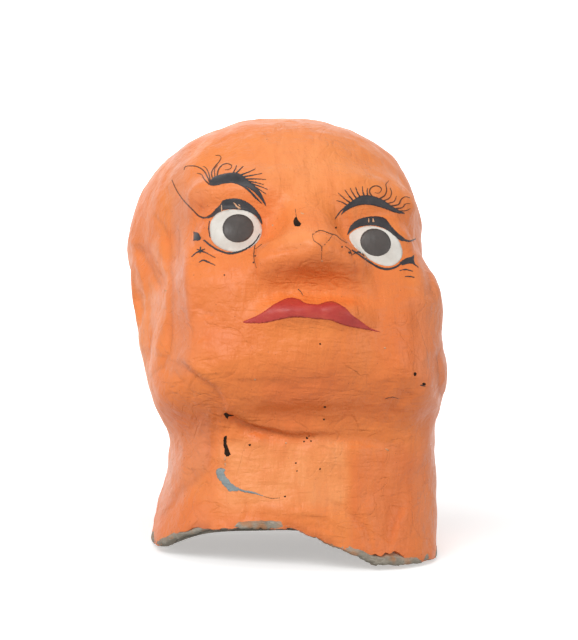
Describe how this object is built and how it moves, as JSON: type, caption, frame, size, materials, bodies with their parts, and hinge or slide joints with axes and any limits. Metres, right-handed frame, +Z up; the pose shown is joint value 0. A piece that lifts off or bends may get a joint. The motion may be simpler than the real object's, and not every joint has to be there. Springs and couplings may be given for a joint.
{
  "type": "puppet head",
  "caption": "Hollow paper-pulp head of a large hand puppet: bald, tilted back, broad nose, painted brows and eyes, open neck with a worn rim.",
  "frame": {"origin": "centre of the object's outline seen from above, on the level that the neck rim stands on", "axes": "+Z up, the face looks towards -Y and is tilted back, +X is the puppet's own left"},
  "size_m": [0.1288, 0.1548, 0.176],
  "materials": {
    "painted_skin": "brushed orange poster paint with a soft gloss",
    "painted_pulp": "brushed orange poster paint over paper pulp",
    "painted_lips": "red paint over paper pulp",
    "painted_eye": "white and dark paint over paper pulp",
    "inner_paper": "bare grey pasted paper",
    "rim_paper": "torn fibrous paper band",
    "card": "plain brown card"
  },
  "bodies": {
    "root": {"face_shell": "painted_skin", "back_shell": "painted_skin", "face_lining": "inner_paper", "back_lining": "inner_paper", "rim_band": "rim_paper", "seam_strip_crown": "inner_paper", "seam_strip_left": "inner_paper", "seam_strip_right": "inner_paper", "finger_tube": "card", "finger_tube_cap": "card", "neck_disc_lower": "card", "neck_disc_upper": "card", "nose": "painted_pulp", "lips": "painted_lips", "ear_left": "painted_pulp", "ear_right": "painted_pulp", "eye_left": "painted_eye", "eye_right": "painted_eye"}
  },
  "joints": []
}
